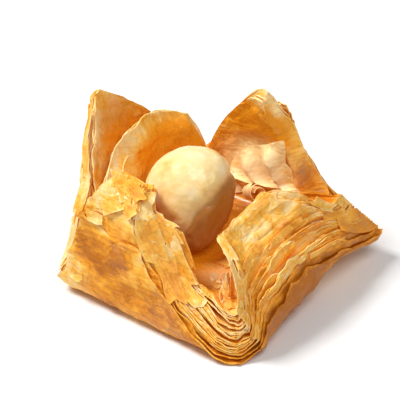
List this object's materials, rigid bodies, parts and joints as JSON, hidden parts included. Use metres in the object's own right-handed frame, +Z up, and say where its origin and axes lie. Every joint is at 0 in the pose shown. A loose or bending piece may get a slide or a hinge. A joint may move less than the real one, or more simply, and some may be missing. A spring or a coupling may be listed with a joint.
{
  "type": "baklava piece",
  "caption": "Small folded filo pastry: a square stack of thin crisp sheets with its corners turned up into a nest round one whole hazelnut.",
  "frame": {"origin": "middle of the flat underside, on the surface that the pastry stands on", "axes": "+Z up; +X and +Y square to two of the four fold lines; the flap that has spread open is at -X and the low, bent one at +X"},
  "size_m": [0.0407, 0.0351, 0.0264],
  "materials": {
    "filo": "baked golden, crisp, glazed with syrup",
    "nut": "peeled, lightly toasted, thinly glazed"
  },
  "bodies": {
    "root": {"filo_pastry": "filo", "hazelnut": "nut"}
  },
  "joints": []
}
